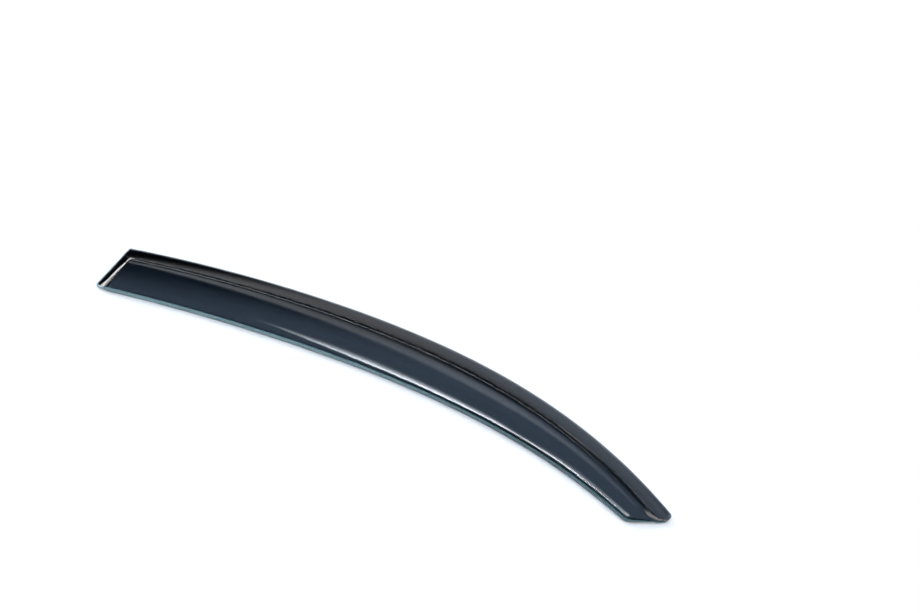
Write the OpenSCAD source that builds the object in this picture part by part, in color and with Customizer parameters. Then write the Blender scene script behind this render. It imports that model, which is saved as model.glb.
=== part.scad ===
// Window rain deflector for the left rear door of a car: one thermoformed tinted acrylic
// shell, held to the door frame by two strips of foam tape, each with its release liner.
// It lies as it would on a table, liners down. X runs from the wide end to the tip, Y from
// the free edge towards the mounting flange, and Z = 0 is the plane under the liners.

/* [Plan outline] */
// Straight length of the top edge, from the wide end to the tip
chord = 740; // [690:1:800]
// Steepness of the top edge where it leaves the wide end
edge_rise = 0.2915; // [0.26:0.0005:0.32]
// Extra swell of the top edge towards the tip
edge_swell = 0.87; // [0.6:0.01:1.1]
// Depth from top edge to free edge at the wide end
depth_heel = 72.8; // [66:0.1:80]
// Depth control a third of the way along
depth_third = 77.3; // [68:0.1:84]
// Depth control two thirds of the way along
depth_two_thirds = 74.2; // [66:0.1:80]
// Depth at the tip, before the slanting cut
depth_toe = 44; // [38:0.1:50]

/* [Wide end] */
// Length of the wide end's edge across the part
heel_depth = 66.4; // [60:0.1:70]
// How far that edge leans towards the tip
heel_lean = 7.7; // [2:0.1:12]
// Width of the flange along the wide end
heel_flange_w = 11.6; // [10.8:0.1:15]
// Plan run of the end wall beside the top flange
end_wall_run = 7; // [6:0.1:9]
// Extra run of the end wall for each millimetre away from the top edge
end_wall_spread = 0.08; // [0.04:0.005:0.1]

/* [Tip] */
// Width of the flange's end at the tip
toe_w = 9.6; // [8:0.1:12]
// How far the flange's end leans back from the tip
toe_lean = 3; // [1:0.1:5]
// Slope of the cut from the tip to the free edge
cut_slope = 0.57; // [0.45:0.005:0.7]
// Softness of the corner between that cut and the free edge
cut_soft = 3.5; // [2:0.1:6]
// Radius of the flange's corners at the tip
toe_r = 2.6; // [1.8:0.1:4]
// Radius of the flange's corners at the wide end
heel_r = 1.2; // [0.6:0.1:1.6]

/* [Section] */
// Thickness of the acrylic sheet
sheet_t = 2.5; // [2:0.1:2.8]
// Width of the flat flange along the top edge
flange_w = 13.8; // [12.6:0.1:15]
// Height of the step's crest above the flange
crest_h = 7.8; // [6.5:0.1:9]
// Radius at the foot of the step
foot_r = 1.5; // [1:0.1:6]
// Radius at the crest of the step
crest_r = 10; // [5:0.5:12]
// Steepest angle of the step
step_angle = 42; // [38:1:52]
// Slope of the face where it leaves the crest
face_rise = 0.25; // [0.15:0.01:0.3]
// Slope that the face has lost by its middle stretch
face_fall = 0.2; // [0.14:0.01:0.24]
// Extra slope of the face beside the lip
face_roll = 0.07; // [0.03:0.01:0.1]
// Radius of the bend into the lip
lip_r = 4.5; // [3.6:0.1:5.5]
// Steepness of the lip
lip_angle = 84; // [80:1:86]

/* [Adhesive] */
// Thickness of the foam tape
tape_t = 1.1; // [0.8:0.1:1.6]
// Thickness of the release liner
liner_t = 0.2; // [0.2:0.05:0.4]
// Width of the tape along the top flange
top_tape_w = 12; // [8:0.1:12.4]
// Width of the tape along the wide end
end_tape_w = 7; // [5:0.1:7.2]
// Margin between the flange's edge and the tape
tape_margin = 0.6; // [0.4:0.1:1.4]
// Distance of the tape's end from the tip
tape_toe_gap = 3; // [2:0.5:30]
// Space between the two strips of tape
tape_gap = 0.4; // [0.2:0.1:2]

/* [Hidden] */

// Heights above the ground plane
tape_z = liner_t;
flange_z = tape_z + tape_t;
top_z = flange_z + sheet_t;

// Lengths of the zones that take closely spaced stations
heel_zone = 60;
toe_zone = 56;
// Stations in the end wall, the heel, the middle and the toe
wall_steps = 13;
heel_steps = 5;
middle_steps = 34;
toe_steps = 17;
// Steps across the foot, the crest, the face, the bend and the lip
foot_steps = 4;
crest_steps = 4;
face_steps = 8;
bend_steps = 6;

// Softness of the join between the end trim and the free edge, and the slope of that trim
trim_soft = 1.2;
trim_slope = -0.04;
// The cut's sections fan out from this far before the tip
fan_zone = 24;
fan_soft = 8;
// Sections of this width have lost the step, and of full_w have all of it
flat_w = 19;
full_w = 62;
// A narrow section keeps this share of its width flat, and a face at least this wide
flat_share = 0.7;
least_face = 2;
// Plan run kept for the straight part of the lip
lip_run = 0.4;
// Extra width of the end flange for each millimetre away from the top edge
wall_skew = 0.06;
// Length beyond the end wall that takes its closely spaced stations
wall_settle = 8.5;
// Distance of the flange's last row and station from its inner side
row_gap = 1.2;

function soft_max(a, b, k) = (a + b + sqrt((a - b) * (a - b) + k * k)) / 2;
function soft_ramp(x, k) = (x + sqrt(x * x + k * k)) / 2;
function clamp01(x) = max(0, min(1, x));
function ease(x) = let (c = clamp01(x)) c * c * (3 - 2 * c);

// The top edge, its slope, and the depth below it
function edge_y(s) = let (t = s / chord) edge_rise * s * (1 - t) * (1 + edge_swell * t * t);
function edge_slope(s) =
    let (t = s / chord)
    edge_rise * ((1 - 2 * t) * (1 + edge_swell * t * t) + 2 * edge_swell * t * t * (1 - t));
function depth(s) =
    let (t = s / chord, r = 1 - t)
    depth_heel * r * r * r + 3 * depth_third * t * r * r
    + 3 * depth_two_thirds * t * t * r + depth_toe * t * t * t;

// The free side: the end trim, then the free edge, then the slanting cut
function free_y(s) =
    let (trim = -heel_depth + trim_slope * (s - heel_lean),
         run = edge_y(s) - depth(s),
         cut = cut_slope * (s - chord + toe_lean) - toe_w)
    soft_max(soft_max(trim, run, trim_soft), cut, cut_soft);

// Station on the free side that faces station s of the top edge
function square_shift(s) = let (m = edge_slope(s)) depth(s) * m / (1 + m * m);
function facing(s) =
    let (r = 1 - s / chord,
         heel = (heel_lean - square_shift(0)) * pow(r, 6),
         fan = soft_ramp(s - chord + fan_zone, fan_soft) / soft_ramp(fan_zone, fan_soft),
         toe = -(toe_lean + square_shift(chord)) * fan)
    s + square_shift(s) + heel + toe;

// Section line at a station: start, unit direction and length
function section(s) =
    let (a = [s, edge_y(s)], g = facing(s), b = [g, free_y(g)], w = norm(b - a))
    [a, (b - a) / w, w];

// Across the section: distance from the top edge and height above the flange.
// The step is a concave foot, a straight riser and a convex crest.
face_angle = atan(face_rise);
bend_angle = atan(face_fall + face_roll);
foot_h = foot_r * (1 - cos(step_angle));
crest_drop = crest_r * (cos(face_angle) - cos(step_angle));
riser_h = crest_h - foot_h - crest_drop;
riser_run = riser_h / tan(step_angle);
crest_q = flange_w + foot_r * sin(step_angle) + riser_run
    + crest_r * (sin(step_angle) - sin(face_angle));
bend_run = lip_r * (sin(lip_angle) - sin(bend_angle));
bend_drop = lip_r * (cos(bend_angle) - cos(lip_angle));

// Height gained along the face for each millimetre of its run
function face_gain(t) =
    face_rise * (1 - pow(1 - t, 6)) / 6 - face_fall * t * t / 2 - face_roll * pow(t, 7) / 7;

flat_rows = [0, heel_r, toe_r, (toe_r + flange_w) / 2, flange_w - row_gap];
foot_rows = [for (k = [0:foot_steps])
    let (a = step_angle * k / foot_steps)
    [flange_w + foot_r * sin(a), foot_r * (1 - cos(a))]];
crest_rows = [for (k = [crest_steps:-1:0])
    let (a = face_angle + (step_angle - face_angle) * k / crest_steps)
    [crest_q + crest_r * (sin(face_angle) - sin(a)), crest_h - crest_r * (cos(face_angle) - cos(a))]];

function face_rows(w) = [for (k = [1:face_steps])
    let (t = k / face_steps) [crest_q + w * t, crest_h + w * face_gain(t)]];
function lip_rows(w) =
    let (z = crest_h + w * face_gain(1), q = crest_q + w,
         run = (z - bend_drop + sheet_t) / tan(lip_angle))
    concat([for (k = [1:bend_steps])
        let (a = bend_angle + (lip_angle - bend_angle) * k / bend_steps)
        [q + lip_r * (sin(a) - sin(bend_angle)), z - lip_r * (cos(bend_angle) - cos(a))]],
        [[q + bend_run + run, -sheet_t]]);

// A section as long as w; a short one keeps all its rows, drawn together
function section_rows(w) =
    let (face_w = max(least_face, w - crest_q - bend_run - lip_run),
         formed = concat(foot_rows, crest_rows, face_rows(face_w), lip_rows(face_w)),
         reach = formed[len(formed) - 1][0],
         flat = min(flange_w, flat_share * w),
         k = (w - flat) / (reach - flange_w),
         fade = clamp01((w - flat_w) / (full_w - flat_w)))
    concat([for (q = flat_rows) [q * flat / flange_w, 0]],
        [for (p = formed) [flat + (p[0] - flange_w) * k, p[1] * fade]]);

// How far the end wall has risen at a plan point: 0 on the end flange, 1 on the face
function wall_rise(p) =
    let (y = min(0, p[1]),
         foot = heel_flange_w - wall_skew * y,
         run = end_wall_run - end_wall_spread * y)
    ease((p[0] - foot) / run);

// The square corners of the plan are turned into round ones of radius r
function rounded(a, b, r) =
    let (u = clamp01(1 - a / r), v = clamp01(1 - b / r))
    u * v > 0 ? [r * (1 - u * sqrt(1 - v * v / 2)), r * (1 - v * sqrt(1 - u * u / 2))] : [a, b];

function plan_point(s, q, w) =
    let (heel = s < chord / 2, side = min(q, w - q),
         r = rounded(heel ? s : chord - s, side, heel ? heel_r : toe_r),
         line = section(heel ? r[0] : chord - r[0]),
         q_round = q < w / 2 ? r[1] : line[2] - r[1])
    line[0] + line[1] * (r[1] == side ? q : q_round);

function surface_row(s) =
    let (w = section(s)[2])
    [for (row = section_rows(w))
        let (p = plan_point(s, row[0], w)) [p[0], p[1], row[1] * wall_rise(p)]];

stations = concat(
    [0, heel_r, toe_r, (toe_r + heel_flange_w) / 2, heel_flange_w - row_gap],
    [for (k = [0:wall_steps]) heel_flange_w + k * (end_wall_run + wall_settle) / wall_steps],
    let (from = heel_flange_w + end_wall_run + wall_settle)
    [for (k = [1:heel_steps]) from + (heel_zone - from) * pow(k / heel_steps, 1.5)],
    [for (k = [1:middle_steps]) heel_zone + (chord - toe_zone - heel_zone) * k / middle_steps],
    [for (k = [1:toe_steps]) chord - toe_zone + (toe_zone - toe_r) * k / toe_steps],
    [chord - toe_r / 2, chord]);

outer_skin = [for (s = stations) surface_row(s)];
last_i = len(stations) - 1;
last_j = len(outer_skin[0]) - 1;

// Unit normal of the outer skin, from the neighbours of a point
function skin_normal(i, j) =
    let (along = outer_skin[min(i + 1, last_i)][j] - outer_skin[max(i - 1, 0)][j],
         across = outer_skin[i][min(j + 1, last_j)] - outer_skin[i][max(j - 1, 0)],
         n = cross(across, along))
    n / norm(n);

inner_skin = [for (i = [0:last_i]) [for (j = [0:last_j])
    outer_skin[i][j] - skin_normal(i, j) * sheet_t]];

// The part's own X and Y start at the middle of its outline
outline_x = [for (row = outer_skin) for (p = row) p[0]];
outline_y = [for (row = outer_skin) for (p = row) p[1]];
centre = [(min(outline_x) + max(outline_x)) / 2, (min(outline_y) + max(outline_y)) / 2];

function at(i, j, side) = (side * (last_i + 1) + i) * (last_j + 1) + j;
function quad(a, b, c, d) = [[a, b, c], [a, c, d]];

module visor_shell() {
    points = [for (skin = [outer_skin, inner_skin]) for (row = skin) for (p = row) p];
    skins = [for (i = [0:last_i - 1]) for (j = [0:last_j - 1]) each concat(
        quad(at(i, j, 0), at(i + 1, j, 0), at(i + 1, j + 1, 0), at(i, j + 1, 0)),
        quad(at(i, j, 1), at(i, j + 1, 1), at(i + 1, j + 1, 1), at(i + 1, j, 1)))];
    long_edges = [for (i = [0:last_i - 1]) each concat(
        quad(at(i, 0, 0), at(i, 0, 1), at(i + 1, 0, 1), at(i + 1, 0, 0)),
        quad(at(i, last_j, 0), at(i + 1, last_j, 0), at(i + 1, last_j, 1), at(i, last_j, 1)))];
    end_edges = [for (j = [0:last_j - 1]) each concat(
        quad(at(0, j, 0), at(0, j + 1, 0), at(0, j + 1, 1), at(0, j, 1)),
        quad(at(last_i, j, 0), at(last_i, j, 1), at(last_i, j + 1, 1), at(last_i, j + 1, 0)))];
    color([0.08, 0.13, 0.16])
        translate([-centre[0], -centre[1], top_z])
            polyhedron(points = points, faces = concat(skins, long_edges, end_edges), convexity = 10);
}

// Outline of the strip under the top flange
strip_steps = 60;
function inward(s, d) = let (line = section(s)) line[0] + line[1] * min(d, line[2] - tape_margin);
top_strip = let (far = chord - tape_toe_gap,
                 at = [for (k = [0:strip_steps]) tape_margin + (far - tape_margin) * k / strip_steps])
    concat([for (s = at) inward(s, tape_margin)],
        [for (k = [strip_steps:-1:0]) inward(at[k], tape_margin + top_tape_w)]);

// Outline of the strip under the end flange, between the top strip and the free side
end_from = tape_margin + top_tape_w + tape_gap;
end_to = norm([heel_depth, heel_lean]) - tape_margin;
end_strip = let (dir = [heel_lean, -heel_depth] / norm([heel_depth, heel_lean]), side = [-dir[1], dir[0]])
    [dir * end_from + side * tape_margin, dir * end_from + side * (tape_margin + end_tape_w),
     dir * end_to + side * (tape_margin + end_tape_w), dir * end_to + side * tape_margin];

module strip(outline, from_z, thickness) {
    translate([-centre[0], -centre[1], from_z]) linear_extrude(height = thickness) polygon(outline);
}

module top_tape() {
    color([0.12, 0.12, 0.13]) strip(top_strip, tape_z, tape_t);
}

module end_tape() {
    color([0.12, 0.12, 0.13]) strip(end_strip, tape_z, tape_t);
}

module top_liner() {
    color([0.72, 0.1, 0.09]) strip(top_strip, 0, liner_t);
}

module end_liner() {
    color([0.72, 0.1, 0.09]) strip(end_strip, 0, liner_t);
}

visor_shell();
top_tape();
end_tape();
top_liner();
end_liner();
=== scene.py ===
"""Window rain deflector: tinted acrylic shell on foam tape, dressed over its CAD frame."""
from math import atan, copysign, cos, radians, sin, tan

import bpy
import numpy as np
from mathutils import Matrix, Vector


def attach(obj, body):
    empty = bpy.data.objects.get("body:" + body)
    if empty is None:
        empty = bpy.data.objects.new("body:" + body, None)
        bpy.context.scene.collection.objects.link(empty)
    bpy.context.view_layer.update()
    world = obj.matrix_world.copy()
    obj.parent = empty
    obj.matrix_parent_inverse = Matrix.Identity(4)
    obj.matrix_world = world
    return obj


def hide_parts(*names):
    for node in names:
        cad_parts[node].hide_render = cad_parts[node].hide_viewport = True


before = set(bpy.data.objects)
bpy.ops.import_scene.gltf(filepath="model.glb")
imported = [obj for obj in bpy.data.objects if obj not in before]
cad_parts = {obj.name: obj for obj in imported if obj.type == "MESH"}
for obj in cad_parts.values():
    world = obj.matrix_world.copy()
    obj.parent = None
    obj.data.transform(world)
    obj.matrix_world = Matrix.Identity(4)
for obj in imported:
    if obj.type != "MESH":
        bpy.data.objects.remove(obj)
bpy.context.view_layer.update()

MM = 0.001

# ---------------------------------------------------------------- shape, in mm
# The same named values and formulas as the part's own source
CHORD, EDGE_RISE, EDGE_SWELL = 740.0, 0.2915, 0.87
DEPTHS = (72.8, 77.3, 74.2, 44.0)
HEEL_DEPTH, HEEL_LEAN, HEEL_FLANGE_W = 66.4, 7.7, 11.6
WALL_RUN, WALL_SPREAD, WALL_SKEW = 7.0, 0.08, 0.06
TOE_W, TOE_LEAN, CUT_SLOPE, CUT_SOFT = 9.6, 3.0, 0.57, 3.5
TOE_R, HEEL_R = 2.6, 1.2
SHEET_T, FLANGE_W, CREST_H, FOOT_R, CREST_R = 2.5, 13.8, 7.8, 1.5, 10.0
STEP_A, FACE_RISE, FACE_FALL, FACE_ROLL = radians(42), 0.25, 0.2, 0.07
LIP_R, LIP_A = 4.5, radians(84)
TAPE_T, LINER_T, TOP_TAPE_W, END_TAPE_W = 1.1, 0.2, 12.0, 7.0
TAPE_MARGIN, TAPE_TOE_GAP, TAPE_GAP = 0.6, 3.0, 0.4
TAPE_CLEAR, LINER_CLEAR, FOAM_SOFT, FILM_SOFT = 0.01, 0.005, 0.12, 0.03
TRIM_SOFT, TRIM_SLOPE = 1.2, -0.04
FAN_ZONE, FAN_SOFT = 24.0, 8.0
FLAT_W, FULL_W = 19.0, 62.0
LEAST_FACE, LIP_RUN, FLAT_SHARE = 2.0, 0.4, 0.7
TOP_Z = LINER_T + TAPE_T + SHEET_T

FACE_A, BEND_A = atan(FACE_RISE), atan(FACE_FALL + FACE_ROLL)
FOOT_H = FOOT_R * (1 - cos(STEP_A))
CREST_DROP = CREST_R * (cos(FACE_A) - cos(STEP_A))
RISER_RUN = (CREST_H - FOOT_H - CREST_DROP) / tan(STEP_A)
CREST_Q = FLANGE_W + FOOT_R * sin(STEP_A) + RISER_RUN + CREST_R * (sin(STEP_A) - sin(FACE_A))
BEND_RUN = LIP_R * (sin(LIP_A) - sin(BEND_A))
BEND_DROP = LIP_R * (cos(BEND_A) - cos(LIP_A))

# How finely the shell is drawn, and the round of its trimmed edge
FLAT_Q = np.array([0, 0.6, HEEL_R, TOE_R, 4.6, 7.9, 10.5, 12.2])
N_FOOT, N_CREST, N_FACE, N_BEND, N_LIP = 6, 16, 28, 14, 3
N_WALL, N_HEEL, N_MID, N_TOE = 44, 20, 190, 60
WALL_SETTLE, HEEL_ZONE, TOE_ZONE = 8.5, 60.0, 56.0
EDGE_ROUND = 0.25

# The rows of the bend painted with the pale glow of light in the sheet, how many of them are lost at the tip, and
# where
LIP_GLOW_ROWS, LIP_GLOW_LOST, LIP_GLOW_ZONE = 8, 2, (0.35, 0.8)

# The inner skin may not fold: its steps keep a share of the outer one's, and what is round a fold is evened out
FOLD_LEAST, FOLD_SPREAD, FOLD_TRIES, OWN_WEIGHT = 0.12, 3, 60, 4

# What only the shading normals show, read from the photo's reflections: rolls in degrees per mm and in degrees, the
# rows over which they come and go, and the step's share of lost height from which it is shaded as a full one
FLANGE_ROLL, FLANGE_FLAT = 0.5, 0.9
TIP_ROLL, TIP_ZONE, N_ROLL_IN, N_ROLL_OUT = 4.5, (0.76, 0.88), 13, 4
N_STEEP, N_STEEP_SOFT, LOW_STEP = 16, 6, 0.3


def soft_max(a, b, k):
    return (a + b + np.sqrt((a - b) ** 2 + k * k)) / 2


def soft_ramp(x, k):
    return (x + np.sqrt(x * x + k * k)) / 2


def ease(x, low=0.0, high=1.0):
    c = np.clip((x - low) / (high - low), 0, 1)
    return c * c * (3 - 2 * c)


def edge_y(s):
    t = s / CHORD
    return EDGE_RISE * s * (1 - t) * (1 + EDGE_SWELL * t * t)


def edge_slope(s):
    t = s / CHORD
    return EDGE_RISE * ((1 - 2 * t) * (1 + EDGE_SWELL * t * t) + 2 * EDGE_SWELL * t * t * (1 - t))


def depth(s):
    t = s / CHORD
    r = 1 - t
    a, b, c, d = DEPTHS
    return a * r ** 3 + 3 * b * t * r * r + 3 * c * t * t * r + d * t ** 3


def free_y(s):
    trim = -HEEL_DEPTH + TRIM_SLOPE * (s - HEEL_LEAN)
    cut = CUT_SLOPE * (s - CHORD + TOE_LEAN) - TOE_W
    return soft_max(soft_max(trim, edge_y(s) - depth(s), TRIM_SOFT), cut, CUT_SOFT)


def square_shift(s):
    m = edge_slope(s)
    return depth(s) * m / (1 + m * m)


def facing(s):
    heel = (HEEL_LEAN - square_shift(0.0)) * (1 - s / CHORD) ** 6
    fan = soft_ramp(s - CHORD + FAN_ZONE, FAN_SOFT) / soft_ramp(FAN_ZONE, FAN_SOFT)
    return s + square_shift(s) + heel - (TOE_LEAN + square_shift(CHORD)) * fan


def section(s):
    """Start, unit direction and length of the section line at station s."""
    a = np.stack([s, edge_y(s)], -1)
    g = facing(s)
    b = np.stack([g, free_y(g)], -1)
    w = np.linalg.norm(b - a, axis=-1)
    return a, (b - a) / w[..., None], w


def face_gain(t):
    return FACE_RISE * (1 - (1 - t) ** 6) / 6 - FACE_FALL * t * t / 2 - FACE_ROLL * t ** 7 / 7


def section_rows(w):
    """Distance from the top edge and height above the flange, for a section as long as w."""
    face_w = max(LEAST_FACE, w - CREST_Q - BEND_RUN - LIP_RUN)
    a = STEP_A * np.linspace(0, 1, N_FOOT + 1)
    rows = [(FLANGE_W + FOOT_R * np.sin(a), FOOT_R * (1 - np.cos(a)))]
    a = FACE_A + (STEP_A - FACE_A) * np.linspace(1, 0, N_CREST + 1)
    rows.append((CREST_Q + CREST_R * (sin(FACE_A) - np.sin(a)), CREST_H - CREST_R * (cos(FACE_A) - np.cos(a))))
    t = np.linspace(0, 1, N_FACE + 1)[1:]
    rows.append((CREST_Q + face_w * t, CREST_H + face_w * face_gain(t)))
    z, q = CREST_H + face_w * face_gain(1.0), CREST_Q + face_w
    a = BEND_A + (LIP_A - BEND_A) * np.linspace(0, 1, N_BEND + 1)[1:]
    rows.append((q + LIP_R * (np.sin(a) - sin(BEND_A)), z - LIP_R * (cos(BEND_A) - np.cos(a))))
    low = z - BEND_DROP
    k = np.linspace(0, 1, N_LIP + 1)[1:]
    rows.append((q + BEND_RUN + (low + SHEET_T) / tan(LIP_A) * k, low - (SHEET_T + low) * k))
    fq, fz = np.concatenate([r[0] for r in rows]), np.concatenate([r[1] for r in rows])
    flat_w = min(FLANGE_W, FLAT_SHARE * w)
    fade = min(1.0, max(0.0, (w - FLAT_W) / (FULL_W - FLAT_W)))
    q = np.concatenate([FLAT_Q * flat_w / FLANGE_W, flat_w + (fq - FLANGE_W) * (w - flat_w) / (fq[-1] - FLANGE_W)])
    return q, np.concatenate([FLAT_Q * 0, fz * fade])


def rounded(a, b, r):
    u, v = np.clip(1 - a / r, 0, 1), np.clip(1 - b / r, 0, 1)
    on = u * v > 0
    return (np.where(on, r * (1 - u * np.sqrt(1 - v * v / 2)), a),
            np.where(on, r * (1 - v * np.sqrt(1 - u * u / 2)), b))


def wall_rise(x, y):
    y = np.minimum(0, y)
    return ease((x - HEEL_FLANGE_W + WALL_SKEW * y) / (WALL_RUN - WALL_SPREAD * y))


def stations():
    wall = HEEL_FLANGE_W + WALL_RUN + WALL_SETTLE
    return np.concatenate([
        [0, 0.6, HEEL_R, TOE_R, 4.6, 7.0, 9.0, 10.4],
        np.linspace(HEEL_FLANGE_W, wall, N_WALL + 1),
        wall + (HEEL_ZONE - wall) * (np.arange(1, N_HEEL + 1) / N_HEEL) ** 1.5,
        np.linspace(HEEL_ZONE, CHORD - TOE_ZONE, N_MID + 1)[1:],
        np.linspace(CHORD - TOE_ZONE, CHORD - TOE_R, N_TOE + 1)[1:],
        [CHORD - 1.2, CHORD - 0.6, CHORD]])


def outer_skin():
    skin = []
    for s in stations():
        w = float(section(s)[2])
        q, z = section_rows(w)
        heel = s < CHORD / 2
        side = np.minimum(q, w - q)
        r0, r1 = rounded(np.full_like(q, s if heel else CHORD - s), side, HEEL_R if heel else TOE_R)
        a, d, wl = section(r0 if heel else CHORD - r0)
        p = a + d * np.where(r1 == side, q, np.where(q < w / 2, r1, wl - r1))[:, None]
        skin.append(np.stack([p[:, 0], p[:, 1], z * wall_rise(p[:, 0], p[:, 1])], -1))
    return np.array(skin)


def unit(v):
    return v / np.maximum(np.linalg.norm(v, axis=-1, keepdims=True), 1e-12)


def spread(mask, steps):
    """The mask grown by some cells each way."""
    for _ in range(steps):
        g = np.pad(mask, 1)
        mask = g[1:-1, 1:-1] | g[:-2, 1:-1] | g[2:, 1:-1] | g[1:-1, :-2] | g[1:-1, 2:]
    return mask


def inner_normals(outer):
    """The skin's normals, evened out where the sheet bends more tightly than it is thick."""
    n = unit(np.cross(np.gradient(outer, axis=1), np.gradient(outer, axis=0)))
    for _ in range(FOLD_TRIES):
        inner = outer - n * SHEET_T
        bad = np.zeros(n.shape[:2], bool)
        for axis in (0, 1):
            step = np.diff(outer, axis=axis)
            fold = (step * np.diff(inner, axis=axis)).sum(-1) < FOLD_LEAST * (step * step).sum(-1)
            pad = [(0, 1), (0, 0)] if axis == 0 else [(0, 0), (0, 1)]
            bad |= np.pad(fold, pad)
        if not bad.any():
            break
        near = spread(bad, FOLD_SPREAD)
        g = np.pad(n, ((1, 1), (1, 1), (0, 0)), mode="edge")
        even = unit(OWN_WEIGHT * n + g[:-2, 1:-1] + g[2:, 1:-1] + g[1:-1, :-2] + g[1:-1, 2:])
        n = np.where(near[..., None], even, n)
    return n


def new_mesh(name, points, faces, marks=None):
    """A mesh object from points in row-frame millimetres, its faces turned outwards."""
    mesh = bpy.data.meshes.new(name)
    points = np.asarray(points)
    fans = np.array([(f[0], f[k], f[k + 1]) for f in faces for k in range(1, len(f) - 1)])
    a, b, c = (points[fans[:, k]] for k in range(3))
    if (a * np.cross(b, c)).sum() < 0:
        faces = [f[::-1] for f in faces]
    mesh.from_pydata((points * MM).tolist(), [], faces)
    if marks is not None:
        mesh.polygons.foreach_set("material_index", marks)
    mesh.polygons.foreach_set("use_smooth", [True] * len(mesh.polygons))
    mesh.update()
    obj = bpy.data.objects.new(name, mesh)
    bpy.context.scene.collection.objects.link(obj)
    return obj


def build_shell():
    outer = outer_skin()
    centre = (outer.reshape(-1, 3).min(0) + outer.reshape(-1, 3).max(0)) / 2
    shift = np.array([-centre[0], -centre[1], TOP_Z])
    outer = outer + shift
    inner = outer - inner_normals(outer) * SHEET_T
    rows, cols = outer.shape[:2]

    def at(i, j, side):
        return (side * rows + i) * cols + j

    points = [outer.reshape(-1, 3), inner.reshape(-1, 3)]
    faces, marks = [], []
    # The lip and the lower rows of the bend take the material with the painted glow
    lip_glow = np.round(LIP_GLOW_ROWS - LIP_GLOW_LOST * ease(stations() / CHORD, *LIP_GLOW_ZONE)).astype(int)
    for i in range(rows - 1):
        lip_from = cols - 1 - N_LIP - lip_glow[i]
        for j in range(cols - 1):
            faces.append((at(i, j, 0), at(i + 1, j, 0), at(i + 1, j + 1, 0), at(i, j + 1, 0)))
            faces.append((at(i, j, 1), at(i, j + 1, 1), at(i + 1, j + 1, 1), at(i + 1, j, 1)))
            marks += [int(j >= lip_from)] * 2
    # The trimmed edge: a ring round the border, rounded at both skins
    ring = ([(i, 0) for i in range(rows - 1)] + [(rows - 1, j) for j in range(cols - 1)]
            + [(i, cols - 1) for i in range(rows - 1, 0, -1)] + [(0, j) for j in range(cols - 1, 0, -1)])
    ri, rj = np.array([r[0] for r in ring]), np.array([r[1] for r in ring])
    pi, pj = np.clip(ri, 1, rows - 2), np.clip(rj, 1, cols - 2)
    down = unit(inner[ri, rj] - outer[ri, rj])
    gap = np.linalg.norm(inner[ri, rj] - outer[ri, rj], axis=-1, keepdims=True)
    out = outer[ri, rj] - outer[pi, pj]
    out = unit(out - (out * down).sum(-1, keepdims=True) * down)
    first = 2 * rows * cols
    loops = []
    for turn, below in [(a, False) for a in (30, 60, 90)] + [(a, True) for a in (90, 60, 30)]:
        inset = EDGE_ROUND * (1 - cos(radians(turn)))
        level = gap - inset if below else inset
        points.append(outer[ri, rj] + out * EDGE_ROUND * sin(radians(turn)) + down * level)
        loops.append(first + np.arange(len(ring)) + len(loops) * len(ring))
    starts = np.array([at(i, j, 0) for i, j in ring])
    ends = np.array([at(i, j, 1) for i, j in ring])
    chain = [starts] + loops + [ends]
    for a, b in zip(chain[:-1], chain[1:]):
        for k in range(len(ring)):
            m = (k + 1) % len(ring)
            faces.append((int(a[k]), int(b[k]), int(b[m]), int(a[m])))
            # The cut edge along the lip takes the painted glow too
            marks.append(int(rj[k] == cols - 1 and rj[m] == cols - 1))
    shell = new_mesh("shell_acrylic", np.concatenate(points), faces, marks)
    set_shading(shell, outer)
    return shell, shift


def set_shading(shell, outer):
    """The outer skin's shading normals, which are finer than the mesh."""
    rows, cols = outer.shape[:2]
    s, col = stations(), np.arange(cols)
    normals = np.array([v.normal for v in shell.data.vertices])
    skin = normals[:rows * cols].reshape(rows, cols, 3)
    foot, bend = len(FLAT_Q), cols - N_LIP - N_BEND
    across = unit((outer[:, -1] - outer[:, foot]) * (1, 1, 0))[:, None]
    # The step stays steep where it gets lower
    steep = np.concatenate([STEP_A * np.linspace(0, 1, N_FOOT + 1),
                            FACE_A + (STEP_A - FACE_A) * np.linspace(1, 0, N_CREST + 1)])[:, None]
    step = skin[:, foot:foot + len(steep)]
    low = ease(1 - (section(s)[2] - FLAT_W) / (FULL_W - FLAT_W), 0.0, LOW_STEP)
    weight = low[:, None] * ease((N_STEEP - col[:len(steep)]) / N_STEEP_SOFT)
    step += (np.cos(steep) * (0, 0, 1) - np.sin(steep) * across - step) * weight[..., None]
    # Towards the tip the face rolls over into the lip more gently
    roll = TIP_ROLL * ease(col, bend - N_ROLL_IN, bend) * (1 - ease(col, bend, bend + N_ROLL_OUT))
    skin += np.tan(np.radians(roll * ease(s / CHORD, *TIP_ZONE)[:, None]))[..., None] * across
    # The flange isn't dead flat: it rolls up a little towards the step
    flange = skin[:, :foot + 1]
    tilt = np.tan(np.radians(FLANGE_ROLL * np.append(FLAT_Q, FLANGE_W)))[:, None]
    flange += np.where(flange[..., 2:] > FLANGE_FLAT, tilt * unit(outer[:, 0] - outer[:, foot])[:, None], 0)
    shell.data.normals_split_custom_set_from_vertices(unit(normals).tolist())


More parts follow.
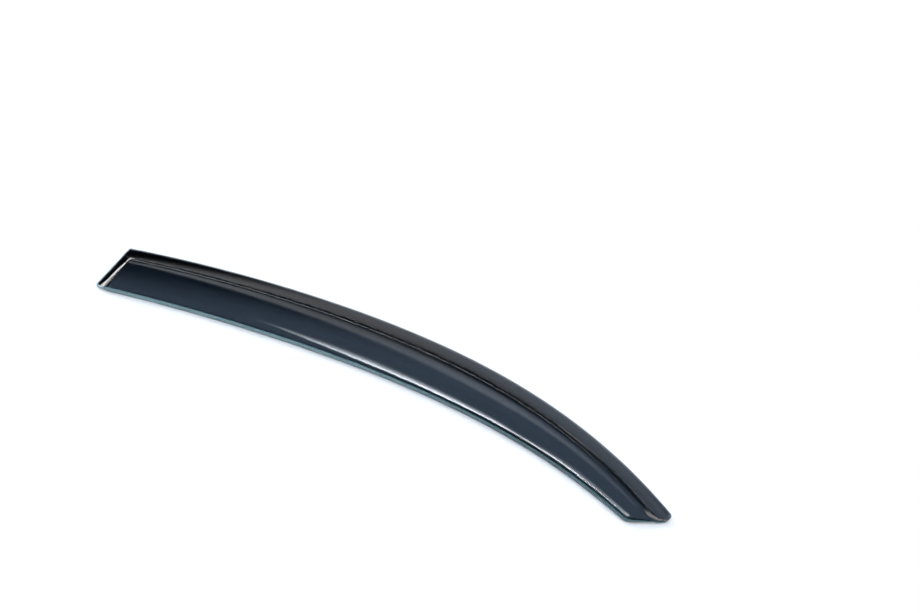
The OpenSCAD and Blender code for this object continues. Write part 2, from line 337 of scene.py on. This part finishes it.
# ---------------------------------------------------------------- tape and liners
def strip_mesh(name, near, far, z0, z1, bulge, soft):
    """A strip between two lines of plan points, with soft long edges that bulge a little."""
    h = z1 - z0
    side = [(0.0, soft), (-bulge, 0.5 * h), (0.0, h - soft), (soft, h)]
    profile = [(soft, 0.0, 0), *((d, z, 0) for d, z in side), *((d, z, 1) for d, z in side[::-1]), (soft, 0.0, 1)]
    rings, n = [], len(near)
    across = unit(far - near)
    width = np.linalg.norm(far - near, axis=-1, keepdims=True)
    for d, z, end in profile:
        xy = near + across * (width - d if end else d)
        rings.append(np.concatenate([xy, np.full((n, 1), z0 + z)], 1))
    points = np.stack(rings, 1).reshape(-1, 3)
    m = len(profile)
    faces = [tuple(range(m)), tuple((n - 1) * m + k for k in range(m - 1, -1, -1))]
    for i in range(n - 1):
        for k in range(m):
            faces.append((i * m + k, (i + 1) * m + k, (i + 1) * m + (k + 1) % m, i * m + (k + 1) % m))
    obj = new_mesh(name, points, faces)
    obj.data.polygons.foreach_set("use_smooth", [len(p.vertices) == 4 for p in obj.data.polygons])
    return obj


def top_lines(shift, steps=220):
    s = np.linspace(TAPE_MARGIN, CHORD - TAPE_TOE_GAP, steps + 1)
    a, d, w = section(s)
    inner = np.minimum(TAPE_MARGIN + TOP_TAPE_W, w - TAPE_MARGIN)[:, None]
    return a + d * TAPE_MARGIN + shift[:2], a + d * inner + shift[:2]


def end_lines(shift, steps=24):
    length = np.hypot(HEEL_DEPTH, HEEL_LEAN)
    way = np.array([HEEL_LEAN, -HEEL_DEPTH]) / length
    side = np.array([-way[1], way[0]])
    t = np.linspace(TAPE_MARGIN + TOP_TAPE_W + TAPE_GAP, length - TAPE_MARGIN, steps + 1)[:, None]
    return way * t + side * TAPE_MARGIN + shift[:2], way * t + side * (TAPE_MARGIN + END_TAPE_W) + shift[:2]


# ---------------------------------------------------------------- materials
def material(name):
    mat = bpy.data.materials.new(name)
    mat.use_nodes = True
    nodes, links = mat.node_tree.nodes, mat.node_tree.links
    return mat, nodes, links, nodes["Principled BSDF"], nodes["Material Output"]


def place(nodes, links, scale=(1, 1, 1)):
    coord = nodes.new("ShaderNodeTexCoord")
    mapping = nodes.new("ShaderNodeMapping")
    mapping.inputs["Scale"].default_value = scale
    links.new(coord.outputs["Object"], mapping.inputs["Vector"])
    return mapping.outputs["Vector"]


def noise(nodes, links, vector, scale, detail=2.0):
    n = nodes.new("ShaderNodeTexNoise")
    n.inputs["Scale"].default_value = scale
    n.inputs["Detail"].default_value = detail
    links.new(vector, n.inputs["Vector"])
    return n.outputs["Fac"]


def map_range(nodes, links, value, a, b, low, high, kind):
    m = nodes.new("ShaderNodeMapRange")
    m.interpolation_type = kind
    for key, v in (("From Min", a), ("From Max", b), ("To Min", low), ("To Max", high)):
        m.inputs[key].default_value = v
    links.new(value, m.inputs["Value"])
    return m.outputs["Result"]


def soft_step(nodes, links, value, a, b, low=0.0, high=1.0):
    return map_range(nodes, links, value, a, b, low, high, "SMOOTHSTEP")


def vary(nodes, links, value, low, high):
    """A noise's usual values, from 0.3 to 0.7, stretched from low to high."""
    return map_range(nodes, links, value, 0.3, 0.7, low, high, "LINEAR")


def ramp(nodes, links, value, stops):
    r = nodes.new("ShaderNodeValToRGB")
    els = r.color_ramp.elements
    while len(els) < len(stops):
        els.new(0.5)
    for e, (pos, col) in zip(els, stops):
        e.position, e.color = pos, (*col, 1)
    links.new(value, r.inputs["Fac"])
    return r.outputs["Color"]


def math_node(nodes, links, operation, *values):
    m = nodes.new("ShaderNodeMath")
    m.operation = operation
    for socket, value in zip(m.inputs, values):
        if isinstance(value, (int, float)):
            socket.default_value = value
        else:
            links.new(value, socket)
    return m.outputs[0]


def bump(nodes, links, height, distance):
    b = nodes.new("ShaderNodeBump")
    b.inputs["Distance"].default_value = distance
    links.new(height, b.inputs["Height"])
    return b.outputs["Normal"]


ACRYLIC_IOR = 1.49
ABSORB_DENSITY = 860.0
ABSORB_COLOR = (0.0, 0.125, 0.214, 1)
PAPER_WHITE = 0.2           # how much of the paper's look is plain white


def absorption(nodes, links, out):
    v = nodes.new("ShaderNodeVolumeAbsorption")
    v.inputs["Density"].default_value = ABSORB_DENSITY
    v.inputs["Color"].default_value = ABSORB_COLOR
    links.new(v.outputs["Volume"], out.inputs["Volume"])


def acrylic_material():
    """Smoke-tinted gloss acrylic: a faint draw from forming in its reflections, and a little haze."""
    mat, nodes, links, bsdf, out = material("tinted_acrylic")
    vec = place(nodes, links)
    drawn = place(nodes, links, (0.35, 1.0, 1.0))
    bsdf.inputs["IOR"].default_value = ACRYLIC_IOR
    bsdf.inputs["Transmission Weight"].default_value = 1.0
    links.new(ramp(nodes, links, noise(nodes, links, vec, 30.0), [(0.3, (0.95, 0.96, 0.97)), (0.7, (1, 1, 1))]),
              bsdf.inputs["Base Color"])
    links.new(vary(nodes, links, noise(nodes, links, drawn, 60.0, 4.0), 0.012, 0.03), bsdf.inputs["Roughness"])
    links.new(bump(nodes, links, noise(nodes, links, drawn, 14.0, 0.0), 0.00001), bsdf.inputs["Normal"])
    absorption(nodes, links, out)
    return mat


def edge_and_glow_material():
    """The lip and the trimmed edge: satin, their pale teal colour a painted glow of the light that gets into the
    sheet.
    """
    mat, nodes, links, bsdf, out = material("trimmed_edge_and_painted_glow")
    vec = place(nodes, links)
    streak = place(nodes, links, (1.0, 1.0, 6.0))
    bsdf.inputs["IOR"].default_value = ACRYLIC_IOR
    bsdf.inputs["Transmission Weight"].default_value = 0.35
    # The painted glow is darker towards the tip, where the lip runs out
    split, glow_tone = nodes.new("ShaderNodeSeparateXYZ"), nodes.new("ShaderNodeMix")
    links.new(vec, split.inputs["Vector"])
    glow_tone.data_type = "RGBA"
    links.new(soft_step(nodes, links, split.outputs["X"], -0.06, 0.24), glow_tone.inputs["Factor"])
    patches = noise(nodes, links, vec, 40.0, 3.0)
    for key, stops in (("A", [(0.3, (0.3, 0.51, 0.54)), (0.7, (0.37, 0.58, 0.61))]),
                       ("B", [(0.3, (0.12, 0.26, 0.285)), (0.7, (0.15, 0.3, 0.325))])):
        links.new(ramp(nodes, links, patches, stops), glow_tone.inputs[key])
    links.new(glow_tone.outputs["Result"], bsdf.inputs["Base Color"])
    links.new(vary(nodes, links, noise(nodes, links, streak, 300.0, 3.0), 0.22, 0.36), bsdf.inputs["Roughness"])
    links.new(bump(nodes, links, noise(nodes, links, streak, 1800.0, 2.0), 0.00001), bsdf.inputs["Normal"])
    absorption(nodes, links, out)
    return mat


def foam_material():
    """Black acrylic foam with fine closed cells."""
    mat, nodes, links, bsdf, _ = material("foam_tape")
    vec = place(nodes, links)
    cells = nodes.new("ShaderNodeTexVoronoi")
    cells.inputs["Scale"].default_value = 2600.0
    links.new(vec, cells.inputs["Vector"])
    links.new(ramp(nodes, links, noise(nodes, links, vec, 900.0, 4.0),
                   [(0.3, (0.012, 0.012, 0.013)), (0.75, (0.035, 0.035, 0.037))]), bsdf.inputs["Base Color"])
    links.new(vary(nodes, links, noise(nodes, links, vec, 300.0), 0.8, 0.95), bsdf.inputs["Roughness"])
    links.new(bump(nodes, links, cells.outputs["Distance"], 0.00008), bsdf.inputs["Normal"])
    bsdf.inputs["Specular IOR Level"].default_value = 0.25
    return mat


def liner_material():
    """Red release film: satin, with faint stretch lines along it."""
    mat, nodes, links, bsdf, _ = material("release_liner")
    vec = place(nodes, links)
    lines = place(nodes, links, (0.15, 2.5, 1.0))
    links.new(ramp(nodes, links, noise(nodes, links, vec, 55.0, 3.0),
                   [(0.3, (0.44, 0.022, 0.022)), (0.7, (0.55, 0.04, 0.036))]), bsdf.inputs["Base Color"])
    links.new(vary(nodes, links, noise(nodes, links, lines, 240.0, 3.0), 0.28, 0.42), bsdf.inputs["Roughness"])
    links.new(bump(nodes, links, noise(nodes, links, lines, 160.0, 2.0), 0.00006), bsdf.inputs["Normal"])
    return mat


def floor_material():
    mat, nodes, links, bsdf, out = material("paper")
    vec = place(nodes, links)
    links.new(ramp(nodes, links, noise(nodes, links, vec, 3.0, 3.0),
                   [(0.3, (0.925, 0.925, 0.927)), (0.7, (0.935, 0.935, 0.935))]), bsdf.inputs["Base Color"])
    links.new(vary(nodes, links, noise(nodes, links, vec, 60.0), 0.75, 0.85), bsdf.inputs["Roughness"])
    bsdf.inputs["Specular IOR Level"].default_value = 0.0
    # The paper's white for the eye and in reflections, over the part of it that is lit and shaded
    path, emit, mix = (nodes.new("ShaderNode" + kind) for kind in ("LightPath", "Emission", "MixShader"))
    eye, glossy, through = (path.outputs[f"Is {kind} Ray"] for kind in ("Camera", "Glossy", "Transmission"))
    seen = math_node(nodes, links, "MAXIMUM", eye, math_node(nodes, links, "SUBTRACT", glossy, through))
    links.new(math_node(nodes, links, "MULTIPLY", seen, PAPER_WHITE), mix.inputs["Fac"])
    links.new(bsdf.outputs["BSDF"], mix.inputs[1])
    links.new(emit.outputs["Emission"], mix.inputs[2])
    links.new(mix.outputs["Shader"], out.inputs["Surface"])
    return mat


# ---------------------------------------------------------------- camera and light
EYE = Vector((0.3622, -0.4171, 0.7808))
RIGHT = Vector((0.8671, 0.4982, 0.0))
UP = Vector((-0.3872, 0.6739, 0.6293))
FORWARD = Vector((-0.3135, 0.5457, -0.7771))
FAR = Vector((FORWARD.x, FORWARD.y, 0)).normalized()
SENSOR, FOCAL_PIXELS, PICTURE_PIXELS = 36.0, 820, 920


def build_camera():
    cam = bpy.data.objects.new("camera", bpy.data.cameras.new("camera"))
    m = Matrix((RIGHT, UP, -FORWARD)).transposed().to_4x4()
    m.translation = EYE
    cam.matrix_world = m
    cam.data.sensor_width = SENSOR
    cam.data.lens = FOCAL_PIXELS / PICTURE_PIXELS * SENSOR
    cam.data.clip_start = 0.01
    bpy.context.scene.collection.objects.link(cam)
    bpy.context.scene.camera = cam


def heading(side, over):
    """The direction side degrees to the right, and over degrees up from the far horizon towards the viewer."""
    a, e = radians(side), radians(over)
    return RIGHT * sin(a) + FAR * cos(a) * cos(e) + Vector((0, 0, 1)) * cos(a) * sin(e)


# Directions are pairs of degrees, as heading takes them
PANEL_FAR = 40.0
SOFTBOXES = [
    # name, upper left corner, along the upper side, down the left side, width, height, radiance, fade, tint
    # The large one over the far side, which the flange and the band below the crest show
    ("light_far", (-2.7, 64.8), (29.3, 66.3), (-20.2, 38.5), 38.8, 43.8, 1.6, (0.22, 0.88, 0.03, 0.15),
     (0.98, 1.0, 1.05)),
    # The bright ones overhead, which the turn into the lip shows
    ("light_over", (-8, 103.4), (35.8, 115), (-18.8, 76.9), 12.1, 36.1, 34.9, (0.12, 1.0, 0.53, 0.62),
     (0.95, 1.0, 1.06)),
    ("light_tip", (-9, 98), (5, 98), (-9, 79), 13, 19, 9.0, (0.4, 0.3, 0.35, 0.3), (0.95, 1.0, 1.06)),
    # The one behind the wide end, which the end wall shows
    ("light_end", (-48, 46), (-25, 52), (-46, 20), 24, 32, 12.0, (0.3, 0.06, 0.3, 0.1), (1.0, 1.0, 1.0)),
    ("light_right", (37, 60), (87, 60), (37, 120), 50, 60, 4.0, (0.2, 0.2, 0.2, 0.2), (1.0, 0.97, 0.93)),
    # A warm one that no reflection shows
    ("light_fill", (0, 95), (60, 95), (0, 45), 60, 50, 0.65, (0.1, 0.1, 0.1, 0.1), (1.0, 0.72, 0.45)),
]
WALL_LIGHT, WALL_TINT = 3.0, (1.0, 0.98, 0.96)
WALL_AHEAD, WALL_UP = (0.3, 0.6), (0.02, 0.1)
GLOW_LIGHT, GLOW_LEAST, GLOW_TINT = 1.2, 0.03, (0.52, 0.71, 1.0)
GLOW_BORDER, GLOW_SOFT = ((3.3, 48), (-20.2, 62)), 0.186
GLOW_MIDDLE, GLOW_ANGLES = (-2, 68), (52, 34)


def panel(name, corner, along, down, width, height, radiance, fade, tint):
    """A softbox. Its upper left corner and a point each of its upper and left sides are headings, and width and
    height are angles from the corner. fade is the soft share at the left, right, low and high side."""
    start = heading(*corner)
    sides = []
    for way in (heading(*along) - start, heading(*down) - start):
        sides.append((way - start * way.dot(start)).normalized())
    right, low = sides[0] * tan(radians(width)), sides[1] * tan(radians(height))
    corners = [(start + right * u + low * v) * PANEL_FAR for u, v in ((0, 0), (1, 0), (1, 1), (0, 1))]
    mesh = bpy.data.meshes.new(name)
    mesh.from_pydata([tuple(c) for c in corners], [], [(0, 1, 2, 3)])
    uv = mesh.uv_layers.new(name="UVMap")
    for loop, co in zip(uv.data, ((0, 1), (1, 1), (1, 0), (0, 0))):
        loop.uv = co
    mat = bpy.data.materials.new(name)
    mat.use_nodes = True
    nodes, links = mat.node_tree.nodes, mat.node_tree.links
    nodes.clear()
    out, emit = nodes.new("ShaderNodeOutputMaterial"), nodes.new("ShaderNodeEmission")
    coord, split = nodes.new("ShaderNodeTexCoord"), nodes.new("ShaderNodeSeparateXYZ")
    links.new(coord.outputs["UV"], split.inputs["Vector"])
    emit.inputs["Color"].default_value = (*tint, 1)
    value = radiance
    for axis, a, b in (("X", 0.0, fade[0]), ("X", 1.0, 1 - fade[1]), ("Y", 0.0, fade[2]), ("Y", 1.0, 1 - fade[3])):
        value = math_node(nodes, links, "MULTIPLY", soft_step(nodes, links, split.outputs[axis], a, b), value)
    links.new(value, emit.inputs["Strength"])
    clear, both = nodes.new("ShaderNodeBsdfTransparent"), nodes.new("ShaderNodeAddShader")
    links.new(clear.outputs["BSDF"], both.inputs[0])
    links.new(emit.outputs["Emission"], both.inputs[1])
    links.new(both.outputs["Shader"], out.inputs["Surface"])
    mesh.materials.append(mat)
    obj = bpy.data.objects.new(name, mesh)
    bpy.context.scene.collection.objects.link(obj)
    obj.visible_camera = False


def build_world():
    """A dark studio with a white wall just above the floor at the far side, and a soft bluish glow overhead. The
    camera itself sees plain white."""
    world = bpy.data.worlds.new("studio")
    bpy.context.scene.world = world
    world.use_nodes = True
    nodes, links = world.node_tree.nodes, world.node_tree.links
    nodes.clear()
    out = nodes.new("ShaderNodeOutputWorld")
    coord = nodes.new("ShaderNodeTexCoord")

    def rise(way, *steps):
        dot = nodes.new("ShaderNodeVectorMath")
        dot.operation = "DOT_PRODUCT"
        dot.inputs[1].default_value = way
        links.new(coord.outputs["Generated"], dot.inputs[0])
        return soft_step(nodes, links, dot.outputs["Value"], *steps)

    def background(colour, strength):
        b = nodes.new("ShaderNodeBackground")
        b.inputs["Color"].default_value = (*colour, 1)
        if isinstance(strength, float):
            b.inputs["Strength"].default_value = strength
        else:
            links.new(strength, b.inputs["Strength"])
        return b.outputs["Background"]

    border = heading(*GLOW_BORDER[0]).cross(heading(*GLOW_BORDER[1])).normalized()
    side = copysign(1.0, border.dot(heading(*GLOW_MIDDLE)))
    glow = math_node(nodes, links, "MULTIPLY", rise(border * side, -GLOW_SOFT, GLOW_SOFT, 0.0, GLOW_LIGHT),
                     rise(heading(*GLOW_MIDDLE), *(cos(radians(a)) for a in GLOW_ANGLES), 0.0, 1.0))
    wall = math_node(nodes, links, "MULTIPLY", rise(FAR, *WALL_AHEAD, 0.0, WALL_LIGHT),
                     rise(Vector((0, 0, 1)), *WALL_UP, 1.0, 0.0))
    both = nodes.new("ShaderNodeAddShader")
    links.new(background(GLOW_TINT, math_node(nodes, links, "ADD", glow, GLOW_LEAST)), both.inputs[0])
    links.new(background(WALL_TINT, wall), both.inputs[1])
    path, mix = nodes.new("ShaderNodeLightPath"), nodes.new("ShaderNodeMixShader")
    links.new(path.outputs["Is Camera Ray"], mix.inputs["Fac"])
    links.new(both.outputs["Shader"], mix.inputs[1])
    links.new(background((1.0, 1.0, 1.0), 1.0), mix.inputs[2])
    links.new(mix.outputs["Shader"], out.inputs["Surface"])


FLOOR_HALF, FLOOR_Z = 9.0, -0.00003


def build_floor():
    mesh = bpy.data.meshes.new("floor")
    corners = ((-1, -1), (1, -1), (1, 1), (-1, 1))
    mesh.from_pydata([(x * FLOOR_HALF, y * FLOOR_HALF, FLOOR_Z) for x, y in corners], [], [(0, 1, 2, 3)])
    floor = bpy.data.objects.new("floor", mesh)
    bpy.context.scene.collection.objects.link(floor)
    floor.data.materials.append(floor_material())


# ---------------------------------------------------------------- assembly
build_camera()
build_floor()
build_world()
for softbox in SOFTBOXES:
    panel(*softbox)
bpy.data.objects["light_fill"].visible_glossy = False

shell, shift = build_shell()
shell.data.materials.append(acrylic_material())
# The second material is the trimmed edge with the lip's painted glow
shell.data.materials.append(edge_and_glow_material())
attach(shell, "root")
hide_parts("visor_shell")

foam, film = foam_material(), liner_material()
for name, lines in (("top", top_lines(shift)), ("end", end_lines(shift))):
    tape = strip_mesh(name + "_foam", *lines, LINER_T, LINER_T + TAPE_T - TAPE_CLEAR, FOAM_SOFT, FOAM_SOFT)
    tape.data.materials.append(foam)
    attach(tape, "root")
    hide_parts(name + "_tape")
    liner = strip_mesh(name + "_film", *lines, 0.0, LINER_T - LINER_CLEAR, 0.0, FILM_SOFT)
    liner.data.materials.append(film)
    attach(liner, "root")
    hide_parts(name + "_liner")

scene = bpy.context.scene
scene.view_settings.view_transform = "Standard"
